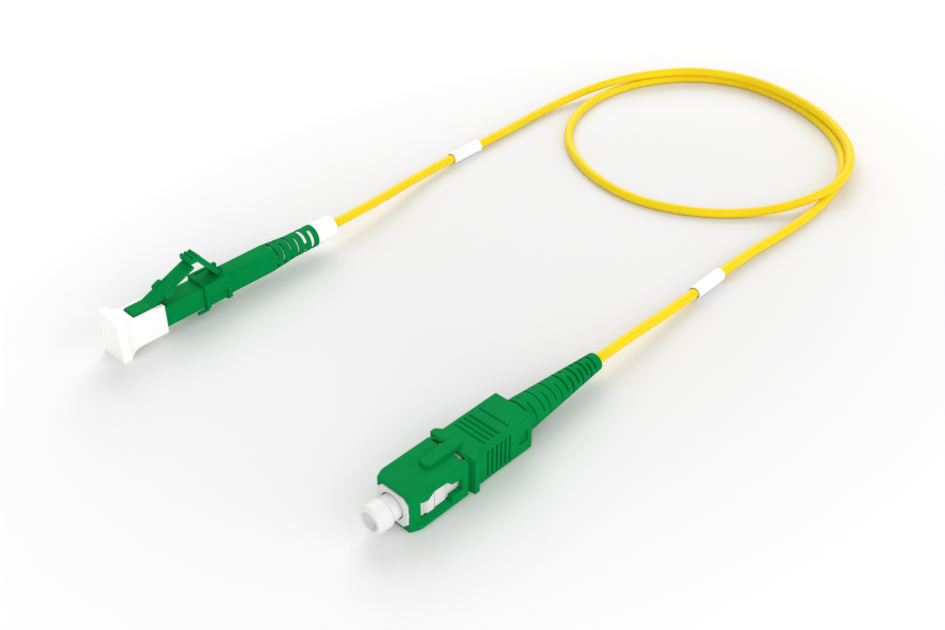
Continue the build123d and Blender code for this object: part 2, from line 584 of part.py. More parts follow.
def lc_latch_arm():
    """Latch arm: level over the nose, then rising to the trigger, with a pill-shaped lug on each side."""
    root_x, root_z = ARM_ROOT
    end_x, end_z = ARM_END
    slope = (end_z - ARM_TOP) / (end_x - ARM_LEVEL_END)
    drop = ARM_THICKNESS * (1 + slope * slope) ** 0.5
    under = ARM_TOP - ARM_THICKNESS
    front = root_x - ARM_LEAD
    arm = side_profile([(front, under), (front, ARM_TOP), (ARM_LEVEL_END, ARM_TOP), (end_x, end_z),
                        (end_x, end_z - drop), (ARM_LEVEL_END + (drop - ARM_THICKNESS) / slope, under)],
                       ARM_WIDTH)
    arm += across_axis((front, (ARM_TOP + under) / 2), ARM_THICKNESS, ARM_WIDTH)
    arm += across_axis((end_x, end_z - drop / 2), ARM_THICKNESS, ARM_WIDTH)
    arm += across_axis(ARM_ROOT, ARM_ROOT_D, ARM_WIDTH)
    lug_z = ARM_TOP + slope * (ARM_LUG_X - ARM_LEVEL_END) - drop / 2
    pill = Pos(ARM_LUG_X, lug_z) * Rot(0, 0, degrees(atan(slope))) * SlotOverall(ARM_LUG_LENGTH, ARM_LUG_HEIGHT)
    lug_depth = (ARM_LUG_WIDTH - ARM_WIDTH) / 2 + ARM_LUG_ROOT
    for side in (-1, 1):
        y = side * (ARM_LUG_WIDTH - lug_depth) / 2
        arm += Pos(0, y, 0) * extrude(Plane.XZ * pill, lug_depth / 2, both=True)
    return arm


def lc_clip_cheek():
    """One cheek beside the trigger's root: it curves up from the clip's deck to the rear collar's top."""
    low = CLIP_WIDTH / 2 - CLIP_CORNER
    front = (CLIP_CHEEK_FRONT, low)
    rear = (CLIP_REAR_COLLAR, CLIP_REAR_RISE)
    outline = ThreePointArc(front, CLIP_CHEEK_MIDDLE, rear) + Polyline(rear, (CLIP_REAR_COLLAR, low), front)
    inner = TRIGGER_WIDTH / 2 + SLIDE_GAP
    width = CLIP_COLLAR_WIDTH / 2 - inner
    return Pos(0, inner + width / 2, 0) * extrude(Plane.XZ * make_face(outline), width / 2, both=True)


def lc_trigger_clip():
    """Rear clip snapped over the body: two collars joined by a decked sleeve, low curbs and bottom tabs."""
    clip_rear = CLIP_REAR_COLLAR + CLIP_COLLAR_LENGTH
    clip = rounded_bar(LC_BODY_FRONT, clip_rear, CLIP_WIDTH, CLIP_WIDTH, CLIP_CORNER)
    for front, rise in ((LC_BODY_FRONT, CLIP_FRONT_RISE), (CLIP_REAR_COLLAR, CLIP_REAR_RISE)):
        collar = rounded_bar(front, front + CLIP_COLLAR_LENGTH, CLIP_COLLAR_WIDTH, rise + CLIP_COLLAR_DROP,
                             CLIP_COLLAR_CORNER)
        clip += Pos(0, 0, (rise - CLIP_COLLAR_DROP) / 2) * collar
    rail_y = (CLIP_COLLAR_WIDTH - CLIP_RAIL_WIDTH) / 2
    rail_length = CLIP_REAR_COLLAR - LC_BODY_FRONT
    nose_bottom = LC_NOSE / 2 + SEAT_GAP
    tab_length = LC_BODY_FRONT + CLIP_TAB_OVERLAP - CLIP_TAB_FRONT
    for side in (-rail_y, rail_y):
        clip += Pos(LC_BODY_FRONT + rail_length / 2, side, CLIP_RAIL_RISE / 2) * Box(
            rail_length, CLIP_RAIL_WIDTH, CLIP_RAIL_RISE)
        clip += Pos(CLIP_TAB_FRONT + tab_length / 2, side, -(CLIP_COLLAR_DROP + nose_bottom) / 2) * Box(
            tab_length, CLIP_RAIL_WIDTH, CLIP_COLLAR_DROP - nose_bottom)
    deck_room = CLIP_COLLAR_WIDTH - 2 * CLIP_RAIL_WIDTH
    clip += Pos(LC_BODY_FRONT + rail_length / 2, 0, CLIP_DECK_RISE / 2) * Box(rail_length, deck_room, CLIP_DECK_RISE)
    cheek = lc_clip_cheek()
    clip += cheek + mirror(cheek, about=Plane.XZ)
    body_room = LC_BODY + 2 * SEAT_GAP
    clip -= rounded_bar(LC_BODY_FRONT - OVERCUT, clip_rear + OVERCUT, body_room, body_room, LC_NOSE_EDGE)
    channel_width = TRIGGER_WIDTH + 2 * SLIDE_GAP
    clip -= across_axis(TRIGGER_ROOT, TRIGGER_ROOT_D + 2 * HINGE_GAP, channel_width)
    channel_length = clip_rear + OVERCUT - CLIP_CHANNEL_FRONT
    return clip - Pos(CLIP_CHANNEL_FRONT + channel_length / 2, 0, CLIP_REAR_RISE) * Box(
        channel_length, channel_width, 2 * CLIP_REAR_RISE - CLIP_WIDTH)


def lc_trigger():
    """Trigger: a sloping plate from its root up to a three-ridged finger pad over the arm's end."""
    root_x, root_z = TRIGGER_ROOT
    pad_x, pad_z = TRIGGER_PAD
    run = Vector(pad_x - root_x, 0, pad_z - root_z)
    across = Vector(run.Z, 0, -run.X).normalized() * (TRIGGER_THICKNESS / 2)
    plate = side_profile([(root_x + across.X, root_z + across.Z), (root_x - across.X, root_z - across.Z),
                          (pad_x - across.X, pad_z - across.Z), (pad_x + across.X, pad_z + across.Z)],
                         TRIGGER_WIDTH)
    pad_front = pad_x + TRIGGER_PAD_REAR - TRIGGER_PAD_LENGTH
    pad_top = pad_z + TRIGGER_PAD_HEIGHT / 2
    pad_under = pad_z - TRIGGER_PAD_HEIGHT / 2
    pad = side_profile([(pad_front, pad_z), (pad_front + TRIGGER_PAD_BEVEL, pad_top), (pad_x, pad_top),
                        (pad_x + TRIGGER_PAD_REAR, pad_z), (pad_x - TRIGGER_PAD_BEVEL, pad_under),
                        (pad_front + TRIGGER_PAD_BEVEL, pad_under)], TRIGGER_WIDTH)
    solid = plate + pad + across_axis(TRIGGER_ROOT, TRIGGER_ROOT_D, TRIGGER_WIDTH)
    for index in range(3):
        ridge_x = pad_front + TRIGGER_RIDGE_D / 2 + index * TRIGGER_RIDGE_PITCH
        solid += across_axis((ridge_x, pad_top - TRIGGER_RIDGE_SINK), TRIGGER_RIDGE_D, TRIGGER_WIDTH)
    return solid


def lc_spring_stop():
    """Metal spring stop: closes the spring chamber, and its tail tube takes the crimp sleeve."""
    bore = STOP_BORE_D / 2
    step = LC_BODY_REAR + STOP_STEP
    solid = turned((LC_SPRING_SEAT, bore), (LC_SPRING_SEAT, STOP_D / 2), (step, STOP_D / 2),
                   (step, STOP_TUBE_D / 2), (STOP_REAR, STOP_TUBE_D / 2), (STOP_REAR, bore))
    flange = rounded_bar(LC_BODY_REAR, STOP_FLANGE_REAR, STOP_FLANGE, STOP_FLANGE, STOP_FLANGE_CORNER)
    flange -= turned((LC_SPRING_SEAT, 0), (LC_SPRING_SEAT, bore), (STOP_REAR, bore), (STOP_REAR, 0))
    return solid + flange


def lc_boot():
    """Green boot: rounded square at the clip, turned round towards its slitted rear end."""
    square = rounded_bar(LC_BOOT_FRONT, LC_BOOT_REAR, LC_BOOT_SIZE, LC_BOOT_SIZE, LC_BOOT_CORNER)
    wide = LC_BOOT_SIZE * LC_BOOT_ROUND_SHARE
    rear = LC_BOOT_REAR_D / 2
    boot = square & turned((LC_BOOT_FRONT, 0), (LC_BOOT_FRONT, wide), (LC_BOOT_ROUND_START, wide),
                           (LC_BOOT_ROUND_END, rear), (LC_BOOT_REAR, rear), (LC_BOOT_REAR, 0))
    flange_room = STOP_FLANGE + 2 * SEAT_GAP
    boot -= rounded_bar(LC_BOOT_FRONT - OVERCUT, STOP_FLANGE_REAR + SLIDE_GAP, flange_room, flange_room,
                        STOP_FLANGE_CORNER)
    crimp = LC_CRIMP_D / 2 + SEAT_GAP
    tail = LC_TAIL_D / 2 + SEAT_GAP
    neck = LC_CRIMP_NECK_D / 2 + SEAT_GAP
    step = STOP_REAR + CRIMP_STEP_GAP
    seat = LC_TAIL_FRONT - LC_TAIL_SEAT
    boot -= turned((LC_BOOT_FRONT - OVERCUT, 0), (LC_BOOT_FRONT - OVERCUT, crimp), (step, crimp),
                   (step + LC_BOOT_BORE_STEP, neck), (seat, neck), (seat, tail), (LC_BOOT_REAR + OVERCUT, tail),
                   (LC_BOOT_REAR + OVERCUT, 0))
    for index, (x, width) in enumerate(LC_SLITS):
        boot -= slit_pair(x, width, LC_BOOT_SIZE, LC_TAIL_D / 2, LC_SLIT_HALF_SPAN, index % 2 == 0)
    return boot


def lc_boot_tail():
    """White tail tube: a liner inside the boot with a thicker end that shows behind it."""
    bore = LC_TAIL_BORE_D / 2
    end = LC_TAIL_END_D / 2
    return turned((LC_TAIL_FRONT, bore), (LC_TAIL_FRONT, LC_TAIL_D / 2), (LC_BOOT_REAR, LC_TAIL_D / 2),
                  (LC_BOOT_REAR, end), (LC_TAIL_REAR - LC_TAIL_EDGE, end), (LC_TAIL_REAR, end - LC_TAIL_EDGE),
                  (LC_TAIL_REAR, bore))


def trumpet(half_rear, half_front, far):
    """Closed (x, offset) outline of the small cap, its sides flaring through a quarter arc to the flange."""
    mid_x = LC_CAP_FLARE_END - LC_CAP_FLARE_MIDDLE[0] * far
    mid_half = half_rear + LC_CAP_FLARE_MIDDLE[1] * (half_front - half_rear)
    lower = Polyline((LC_CAP_REAR, -half_rear), (LC_CAP_REAR, half_rear), (LC_CAP_FLARE_END, half_rear))
    flare = ThreePointArc((LC_CAP_FLARE_END, half_rear), (mid_x, mid_half), (LC_CAP_FLANGE_REAR, half_front))
    front = Polyline((LC_CAP_FLANGE_REAR, half_front), (LC_CAP_FRONT, half_front),
                     (LC_CAP_FRONT, -half_front), (LC_CAP_FLANGE_REAR, -half_front))
    flare_down = ThreePointArc((LC_CAP_FLANGE_REAR, -half_front), (mid_x, -mid_half),
                               (LC_CAP_FLARE_END, -half_rear))
    close = Line((LC_CAP_FLARE_END, -half_rear), (LC_CAP_REAR, -half_rear))
    return make_face(lower + flare + front + flare_down + close)


def lc_dust_cap():
    """White dust cap: square sleeve over the nose, flared to a pull flange, slotted for the latch arm."""
    far = LC_CAP_FLARE_END - LC_CAP_FLANGE_REAR
    side = extrude(Plane.XZ * trumpet(LC_CAP_HEIGHT / 2, LC_CAP_FLANGE_HEIGHT / 2, far),
                   LC_CAP_FLANGE_WIDTH, both=True)
    plan = extrude(trumpet(LC_CAP_WIDTH / 2, LC_CAP_FLANGE_WIDTH / 2, far), LC_CAP_FLANGE_HEIGHT, both=True)
    cap = side & plan
    inner = LC_NOSE + 2 * SLIDE_GAP
    cap -= rounded_bar(LC_FRONT - SLIDE_GAP, LC_CAP_REAR + OVERCUT, inner, inner, LC_NOSE_EDGE)
    bore = LC_FERRULE_D / 2 + SLIDE_GAP
    cap -= turned((LC_CAP_BORE_FRONT, 0), (LC_CAP_BORE_FRONT, bore), (LC_FRONT, bore), (LC_FRONT, 0))
    slot_length = LC_CAP_REAR - LC_FRONT + OVERCUT
    cap -= Pos(LC_FRONT + slot_length / 2, 0, LC_CAP_HEIGHT / 2) * Box(
        slot_length, LC_CAP_SLOT_WIDTH, LC_CAP_HEIGHT - LC_NOSE + OVERCUT)
    return cap


def buffered_fibre(front, rear):
    """The tight-buffered fibre between the ferrule and the cable jacket."""
    return turned((front, 0), (front, BUFFER_D / 2), (rear, BUFFER_D / 2), (rear, 0))


def marker_sleeve(x, route_start):
    """Loose marker sleeve round the straight stretch of cable after one point of the route."""
    start = Vector(*CABLE_ROUTE[route_start])
    end = Vector(*CABLE_ROUTE[route_start + 1])
    share = (x - CENTRE_X - start.X) / (end.X - start.X)
    middle = start + (end - start) * share
    level = Vector(end.X - start.X, end.Y - start.Y, 0).normalized()
    place = Plane(origin=(middle.X, middle.Y, SLEEVE_D / 2), z_dir=level)
    ring = Circle(SLEEVE_D / 2) - Circle(SLEEVE_BORE_D / 2)
    return extrude(place * ring, SLEEVE_LENGTH / 2, both=True)


def corner_radii(points):
    """Each corner's arc: a share of its shorter run over the tangent of half its turn."""
    radii = []
    for before, corner, after in zip(points, points[1:], points[2:]):
        arriving = Vector(*corner) - Vector(*before)
        leaving = Vector(*after) - Vector(*corner)
        turn = arriving.get_angle(leaving)
        shorter = min(arriving.length, leaving.length)
        radii.append(CORNER_SHARE * shorter / tan(radians(turn / 2)))
    return radii


def cable():
    """Yellow jacketed cable, one tube from crimp to crimp along the hand-chosen route."""
    radii = corner_radii(CABLE_ROUTE)
    path = FilletPolyline(*CABLE_ROUTE, radius=radii)
    start = Plane(origin=path @ 0, z_dir=path % 0)
    tube = sweep(start * Circle(CABLE_D / 2), path=path)
    section = pi * CABLE_D ** 2 / 4
    print("arc radii, mm:", [round(radius, 1) for radius in radii])
    print("cable length, mm:", round(path.length, 2))
    print("tube volume over section times length:", round(tube.volume / (section * path.length), 5))
    return tube


sc_ferrule_rear = SC_FERRULE_TIP + SC_FERRULE_LENGTH
lc_ferrule_rear = LC_FERRULE_TIP + LC_FERRULE_LENGTH
sc_flange_rear = FRAME_WEB_REAR + SEAT_GAP + SC_FLANGE_LENGTH
lc_flange_rear = LC_WEB_REAR + SEAT_GAP + LC_FLANGE_LENGTH

sc_parts = {
    "sc_outer_housing": sc_outer_housing(),
    "sc_plug_frame": sc_plug_frame(),
    "sc_ferrule": ferrule(SC_FERRULE_TIP, SC_FERRULE_LENGTH, SC_FERRULE_D),
    "sc_ferrule_flange": ferrule_flange(FRAME_WEB_REAR, sc_ferrule_rear, SC_FLANGE_D, SC_FLANGE_LENGTH,
                                        SC_FLANGE_TUBE_D, SC_FLANGE_TUBE_END, SC_FERRULE_D),
    "sc_spring": coil_spring(sc_flange_rear + SEAT_GAP, SC_SPRING_SEAT - SEAT_GAP, SC_SPRING_D, SC_SPRING_WIRE,
                             SC_SPRING_TURNS),
    "sc_backbone": sc_backbone(),
    "sc_crimp_sleeve": crimp_sleeve(SC_CRIMP_FRONT, BACKBONE_REAR + CRIMP_STEP_GAP, SC_CRIMP_REAR, SC_CRIMP_D,
                                    BACKBONE_TUBE_D, SC_CRIMP_NECK_D),
    "sc_boot": sc_boot(),
    "sc_dust_cap": sc_dust_cap(),
    "sc_buffered_fibre": buffered_fibre(sc_ferrule_rear + FERRULE_TRAVEL + FIBRE_REST_GAP, CABLE_SC_END),
}
lc_parts = {
    "lc_housing": lc_housing(),
    "lc_latch_arm": lc_latch_arm(),
    "lc_trigger_clip": lc_trigger_clip(),
    "lc_trigger": lc_trigger(),
    "lc_ferrule": ferrule(LC_FERRULE_TIP, LC_FERRULE_LENGTH, LC_FERRULE_D),
    "lc_ferrule_flange": ferrule_flange(LC_WEB_REAR, lc_ferrule_rear, LC_FLANGE_D, LC_FLANGE_LENGTH,
                                        LC_FLANGE_TUBE_D, LC_FLANGE_TUBE_END, LC_FERRULE_D),
    "lc_spring": coil_spring(lc_flange_rear + SEAT_GAP, LC_SPRING_SEAT - SEAT_GAP, LC_SPRING_D, LC_SPRING_WIRE,
                             LC_SPRING_TURNS),
    "lc_spring_stop": lc_spring_stop(),
    "lc_crimp_sleeve": crimp_sleeve(LC_CRIMP_FRONT, STOP_REAR + CRIMP_STEP_GAP, LC_CRIMP_REAR, LC_CRIMP_D,
                                    STOP_TUBE_D, LC_CRIMP_NECK_D),
    "lc_boot": lc_boot(),
    "lc_boot_tail": lc_boot_tail(),
    "lc_dust_cap": lc_dust_cap(),
    "lc_buffered_fibre": buffered_fibre(lc_ferrule_rear + FERRULE_TRAVEL + FIBRE_REST_GAP, CABLE_LC_END),
}
cord_parts = {
    "cable": cable(),
    "sc_marker_sleeve": marker_sleeve(SC_SLEEVE_X, SC_SLEEVE_RUN),
    "lc_marker_sleeve": marker_sleeve(LC_SLEEVE_X, LC_SLEEVE_RUN),
}

os.makedirs("parts", exist_ok=True)
for name, solid in sc_parts.items():
    export_step(SC_PLACE * solid, f"parts/{name}.step")
for name, solid in lc_parts.items():
    export_step(LC_PLACE * solid, f"parts/{name}.step")
for name, solid in cord_parts.items():
    export_step(solid, f"parts/{name}.step")
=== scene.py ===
import json

import bpy
import numpy as np
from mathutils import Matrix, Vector

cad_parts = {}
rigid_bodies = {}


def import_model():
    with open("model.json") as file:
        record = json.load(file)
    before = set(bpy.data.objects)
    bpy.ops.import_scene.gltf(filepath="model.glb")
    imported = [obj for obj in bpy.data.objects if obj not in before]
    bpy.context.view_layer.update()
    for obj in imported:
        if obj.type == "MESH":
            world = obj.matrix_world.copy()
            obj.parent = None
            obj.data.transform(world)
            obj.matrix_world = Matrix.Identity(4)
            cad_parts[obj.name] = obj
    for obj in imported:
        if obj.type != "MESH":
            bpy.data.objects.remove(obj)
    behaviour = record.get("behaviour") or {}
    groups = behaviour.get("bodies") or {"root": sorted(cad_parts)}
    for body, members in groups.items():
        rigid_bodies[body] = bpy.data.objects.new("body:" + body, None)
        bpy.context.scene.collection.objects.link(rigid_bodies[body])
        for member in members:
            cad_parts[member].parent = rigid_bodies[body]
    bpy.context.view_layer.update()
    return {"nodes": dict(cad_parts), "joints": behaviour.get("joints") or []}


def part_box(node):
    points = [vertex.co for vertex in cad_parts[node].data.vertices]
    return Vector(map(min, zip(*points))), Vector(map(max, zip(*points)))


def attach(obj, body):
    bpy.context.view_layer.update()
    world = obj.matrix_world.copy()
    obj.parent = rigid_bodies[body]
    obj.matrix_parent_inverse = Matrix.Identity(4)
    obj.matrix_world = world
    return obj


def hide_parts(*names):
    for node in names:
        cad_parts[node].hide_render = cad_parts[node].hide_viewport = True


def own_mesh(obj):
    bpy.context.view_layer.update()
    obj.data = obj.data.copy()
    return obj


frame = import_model()
nodes = frame["nodes"]

MM = 0.001

# Camera, solved from the straight edges of the two plugs; the image is 945 by 630
IMAGE_WIDTH = 945
FOCAL_PIXELS = 1216
SENSOR_WIDTH_MM = 36.0
CAMERA_PLACE_MM = (-109.74, -134.3, 138.55)
CAMERA_LOOK = (0.5831, 0.5568, -0.5916)
CAMERA_NEAR_MM = 5
CAMERA_FAR_MM = 20000

# Cable route in millimetres, the same given points as the solid's; the two
# beside the plugs are moved so that the smooth line leaves each boot on its axis
CABLE_D_MM = 2.0
CABLE_ROUTE_MM = [
    (4.85, -32.8, 3.7),
    (33.85, -32.8, 4.0),
    (55.05, -31.9, 1.6),
    (78.65, -31.1, 1.3),
    (93.35, -32.3, 1.0),
    (107.85, -32.1, 1.0),
    (120.85, -29.3, 1.0),
    (132.35, -23.1, 1.0),
    (140.85, -13.4, 1.0),
    (146.35, -0.9, 1.0),
    (147.85, 13.1, 1.0),
    (142.35, 25.1, 1.0),
    (131.35, 33.4, 1.0),
    (116.85, 36.9, 1.0),
    (102.35, 34.3, 1.0),
    (90.85, 26.6, 1.0),
    (83.35, 14.1, 1.0),
    (80.85, -0.4, 1.0),
    (85.85, -13.9, 1.0),
    (94.85, -23.7, 1.1),
    (104.85, -29.9, 2.4),
    (116.85, -31.9, 3.15),
    (129.85, -26.6, 3.15),
    (139.35, -16.4, 3.15),
    (145.15, -3.4, 3.15),
    (147.05, 11.6, 3.15),
    (141.85, 24.6, 3.15),
    (131.25, 33.1, 3.15),
    (118.35, 38.7, 2.6),
    (104.35, 41.7, 1.2),
    (83.35, 40.7, 1.2),
    (57.85, 40.1, 1.7),
    (32.85, 34.3, 4.65),
    (3.85, 34.7, 4.45),
]
CABLE_CURVE_ORDER = 3
CABLE_STEPS_PER_POINT = 16
CABLE_SECTION_STEPS = 6
CENTRE_LINE_STEP_MM = 0.1

# Marker sleeves, shrunk round the cable. The squareness runs from 0, a rectangular
# section of the wall, to 1, an oval one
SLEEVE_D_MM = 2.7
SLEEVE_BORE_MM = 2.3
SLEEVE_LENGTH_MM = 9.2
SLEEVE_SQUARENESS = 0.2
SLEEVE_SECTION_POINTS = 72
SLEEVE_ROUND_POINTS = 48

# The ferrules' springs
SC_SPRING_WIRE_MM = 0.5
SC_SPRING_TURNS = 6
LC_SPRING_WIRE_MM = 0.35
LC_SPRING_TURNS = 7
SPRING_TURN_POINTS = 32
WIRE_ROUND_POINTS = 12

# Patterns in the finishes. Noise keeps mostly between the low and the high value, so
# colours and gloss run from the one to the other
NOISE_LOW = 0.3
NOISE_HIGH = 0.7
FLOW_MOTTLE_MM = 6
PLATING_CLOUD_MM = 2
RING_DEPTH_MM = 0.004
PEEL_MM = 0.5
PEEL_DEPTH_MM = 0.02
JACKET_CLOUD_MM = 9
JACKET_GLOW_MM = (0.9, 0.6, 0.1)
CERAMIC_CLOUD_MM = 1.5
ZIRCONIA_IOR = 2.1

# The floor's paper is white outside an oval; painted shade darkens it to pale grey in the
# oval's middle, round the object. Each stop is a share of the way from the oval's edge to its
# middle, and the paper's colour there
FLOOR_HALF_MM = 600
PAINTED_SHADE_MIDDLE_MM = (60, -4)
PAINTED_SHADE_REACH_MM = (155, 110)
PAINTED_SHADE_STOPS = ((0.0, "FAFAFA"), (0.3, "F0F0F0"), (0.7, "E8E8E8"))


def linear(hex_colour):
    """An sRGB hex value such as '00A04A' as linear red, green, blue and alpha 1."""
    values = []
    for start in (0, 2, 4):
        share = int(hex_colour[start:start + 2], 16) / 255
        values.append(share / 12.92 if share <= 0.04045 else ((share + 0.055) / 1.055) ** 2.4)
    return (*values, 1.0)


def add_object(name, data):
    """A new object in the scene, at the origin."""
    piece = bpy.data.objects.new(name, data)
    bpy.context.scene.collection.objects.link(piece)
    return piece


def add_node(tree, kind, inputs=None, stops=(), **settings):
    """Adds one shader node with its settings.

    Its inputs are set or linked by name or number. A colour ramp's stops are pairs of a
    position and a hex colour.
    """
    node = tree.nodes.new(kind)
    for name, value in settings.items():
        setattr(node, name, value)
    for key, value in (inputs or {}).items():
        if isinstance(value, bpy.types.NodeSocket):
            tree.links.new(value, node.inputs[key])
        else:
            node.inputs[key].default_value = value
    for number, (position, hex_colour) in enumerate(stops):
        elements = node.color_ramp.elements
        element = elements[number] if number < len(elements) else elements.new(position)
        element.position = position
        element.color = linear(hex_colour)
    return node


def new_material(name):
    """An empty material: its tree, its Principled shader on the output, and Object coordinates."""
    material = bpy.data.materials.new(name)
    material.use_nodes = True
    tree = material.node_tree
    tree.nodes.clear()
    shader = add_node(tree, "ShaderNodeBsdfPrincipled")
    add_node(tree, "ShaderNodeOutputMaterial", {"Surface": shader.outputs["BSDF"]})
    place = add_node(tree, "ShaderNodeTexCoord").outputs["Object"]
    return material, tree, shader, place


def moulded_plastic(name, light_hex, dark_hex, roughness, grain_mm, grain_depth_mm, edge_mm, sheen=0.5):
    """Injection-moulded plastic.

    The mould's spark-eroded steel leaves a fine grain that breaks up the highlights, the flow of
    the melt clouds the colour slightly, and the moulded edges catch the light because they are
    softly rounded. The real grain is too fine to show, so it is drawn a few times coarser.
    """
    material, tree, shader, place = new_material(name)
    mottle = add_node(tree, "ShaderNodeTexNoise", {"Vector": place, "Scale": 1 / (FLOW_MOTTLE_MM * MM),
                                                   "Detail": 3.0, "Roughness": 0.6})
    colour = add_node(tree, "ShaderNodeValToRGB", {"Fac": mottle.outputs["Fac"]},
                      stops=((NOISE_LOW, dark_hex), (NOISE_HIGH, light_hex)))
    grain = add_node(tree, "ShaderNodeTexNoise", {"Vector": place, "Scale": 1 / (grain_mm * MM),
                                                  "Detail": 2.0, "Roughness": 0.55})
    gloss = add_node(tree, "ShaderNodeMapRange", {"Value": grain.outputs["Fac"],
                                                  "From Min": NOISE_LOW, "From Max": NOISE_HIGH,
                                                  "To Min": roughness - 0.05, "To Max": roughness + 0.06})
    edges = add_node(tree, "ShaderNodeBevel", {"Radius": edge_mm * MM}, samples=4)
    bump = add_node(tree, "ShaderNodeBump", {"Height": grain.outputs["Fac"], "Strength": 0.6,
                                             "Distance": grain_depth_mm * MM,
                                             "Normal": edges.outputs["Normal"]})
    tree.links.new(colour.outputs["Color"], shader.inputs["Base Color"])
    tree.links.new(gloss.outputs["Result"], shader.inputs["Roughness"])
    tree.links.new(bump.outputs["Normal"], shader.inputs["Normal"])
    shader.inputs["Specular IOR Level"].default_value = sheen
    return material


def machined_metal(name, light_hex, dark_hex, roughness, turning_mm):
    """Turned and plated metal.

    The lathe's tool leaves rings across the plug's axis, which draw the highlights out, and the
    plating's colour is faintly cloudy. The real rings are too fine to show, so they are drawn a
    few times coarser. At scale 1 the texture's bands lie 2 pi / 20 apart.
    """
    material, tree, shader, place = new_material(name)
    rings = add_node(tree, "ShaderNodeTexWave", {"Vector": place, "Scale": 2 * np.pi / 20 / (turning_mm * MM),
                                                 "Distortion": 1.5, "Detail": 2.0, "Detail Scale": 2.0},
                     wave_type="BANDS", bands_direction="X")
    cloud = add_node(tree, "ShaderNodeTexNoise", {"Vector": place, "Scale": 1 / (PLATING_CLOUD_MM * MM),
                                                  "Detail": 3.0})
    colour = add_node(tree, "ShaderNodeValToRGB", {"Fac": cloud.outputs["Fac"]},
                      stops=((NOISE_LOW, dark_hex), (NOISE_HIGH, light_hex)))
    gloss = add_node(tree, "ShaderNodeMapRange", {"Value": rings.outputs["Fac"],
                                                  "To Min": roughness, "To Max": roughness + 0.12})
    bump = add_node(tree, "ShaderNodeBump", {"Height": rings.outputs["Fac"], "Strength": 0.5,
                                             "Distance": RING_DEPTH_MM * MM})
    tree.links.new(colour.outputs["Color"], shader.inputs["Base Color"])
    tree.links.new(gloss.outputs["Result"], shader.inputs["Roughness"])
    tree.links.new(bump.outputs["Normal"], shader.inputs["Normal"])
    shader.inputs["Metallic"].default_value = 1.0
    return material


def jacket_pvc():
    """Soft PVC, extruded round the fibre.

    It is even along the cable, with a faint orange peel that spreads its highlight, and a little
    light gets into it, so that its shaded side glows slightly.
    """
    material, tree, shader, place = new_material("extruded_pvc_jacket")
    peel = add_node(tree, "ShaderNodeTexNoise", {"Vector": place, "Scale": 1 / (PEEL_MM * MM),
                                                 "Detail": 3.0, "Roughness": 0.5})
    cloud = add_node(tree, "ShaderNodeTexNoise", {"Vector": place, "Scale": 1 / (JACKET_CLOUD_MM * MM),
                                                  "Detail": 2.0})
    colour = add_node(tree, "ShaderNodeValToRGB", {"Fac": cloud.outputs["Fac"]},
                      stops=((NOISE_LOW, "F0D20C"), (NOISE_HIGH, "F6D910")))
    gloss = add_node(tree, "ShaderNodeMapRange", {"Value": peel.outputs["Fac"],
                                                  "From Min": NOISE_LOW, "From Max": NOISE_HIGH,
                                                  "To Min": 0.36, "To Max": 0.46})
    bump = add_node(tree, "ShaderNodeBump", {"Height": peel.outputs["Fac"], "Strength": 0.35,
                                             "Distance": PEEL_DEPTH_MM * MM})
    tree.links.new(colour.outputs["Color"], shader.inputs["Base Color"])
    tree.links.new(gloss.outputs["Result"], shader.inputs["Roughness"])
    tree.links.new(bump.outputs["Normal"], shader.inputs["Normal"])
    shader.inputs["Specular IOR Level"].default_value = 0.12
    shader.inputs["Subsurface Weight"].default_value = 0.08
    shader.inputs["Subsurface Radius"].default_value = Vector(JACKET_GLOW_MM) * MM
    shader.inputs["Subsurface Scale"].default_value = 1.0
    return material


def fired_zirconia():
    """Zirconia ceramic, fired and polished: dense and white, with clear, bright reflections."""
    material, tree, shader, place = new_material("polished_zirconia")
    cloud = add_node(tree, "ShaderNodeTexNoise", {"Vector": place, "Scale": 1 / (CERAMIC_CLOUD_MM * MM),
                                                  "Detail": 2.0})
    colour = add_node(tree, "ShaderNodeValToRGB", {"Fac": cloud.outputs["Fac"]},
                      stops=((NOISE_LOW, "EFECE4"), (NOISE_HIGH, "F7F5EF")))
    tree.links.new(colour.outputs["Color"], shader.inputs["Base Color"])
    shader.inputs["Roughness"].default_value = 0.12
    shader.inputs["IOR"].default_value = ZIRCONIA_IOR
    return material


def add_camera():
    """The photograph's camera, from its solved place, look direction and focal length."""
    data = bpy.data.cameras.new("camera")
    data.sensor_width = SENSOR_WIDTH_MM
    data.lens = FOCAL_PIXELS / IMAGE_WIDTH * SENSOR_WIDTH_MM
    data.clip_start = CAMERA_NEAR_MM * MM
    data.clip_end = CAMERA_FAR_MM * MM
    camera = add_object("camera", data)
    camera.location = Vector(CAMERA_PLACE_MM) * MM
    camera.rotation_euler = Vector(CAMERA_LOOK).to_track_quat("-Z", "Y").to_euler()
    bpy.context.scene.camera = camera


def add_cable(material):
    """The yellow cable: one smooth NURBS line through the route, as thick as the jacket."""
    curve = bpy.data.curves.new("yellow_cable", "CURVE")
    curve.dimensions = "3D"
    curve.resolution_u = CABLE_STEPS_PER_POINT
    curve.bevel_depth = CABLE_D_MM / 2 * MM
    curve.bevel_resolution = CABLE_SECTION_STEPS
    curve.use_fill_caps = True
    spline = curve.splines.new("NURBS")
    spline.points.add(len(CABLE_ROUTE_MM) - 1)
    for point, place in zip(spline.points, CABLE_ROUTE_MM):
        point.co = (*(Vector(place) * MM), 1.0)
    spline.order_u = CABLE_CURVE_ORDER
    spline.use_endpoint_u = True
    curve.materials.append(material)
    return add_object("yellow_cable", curve)


def at_distances(distances, run, rows):
    """Rows of x, y and z, known at the distances in run, worked out in between at other distances."""
    return np.stack([np.interp(distances, run, rows[:, axis]) for axis in range(3)], axis=-1)


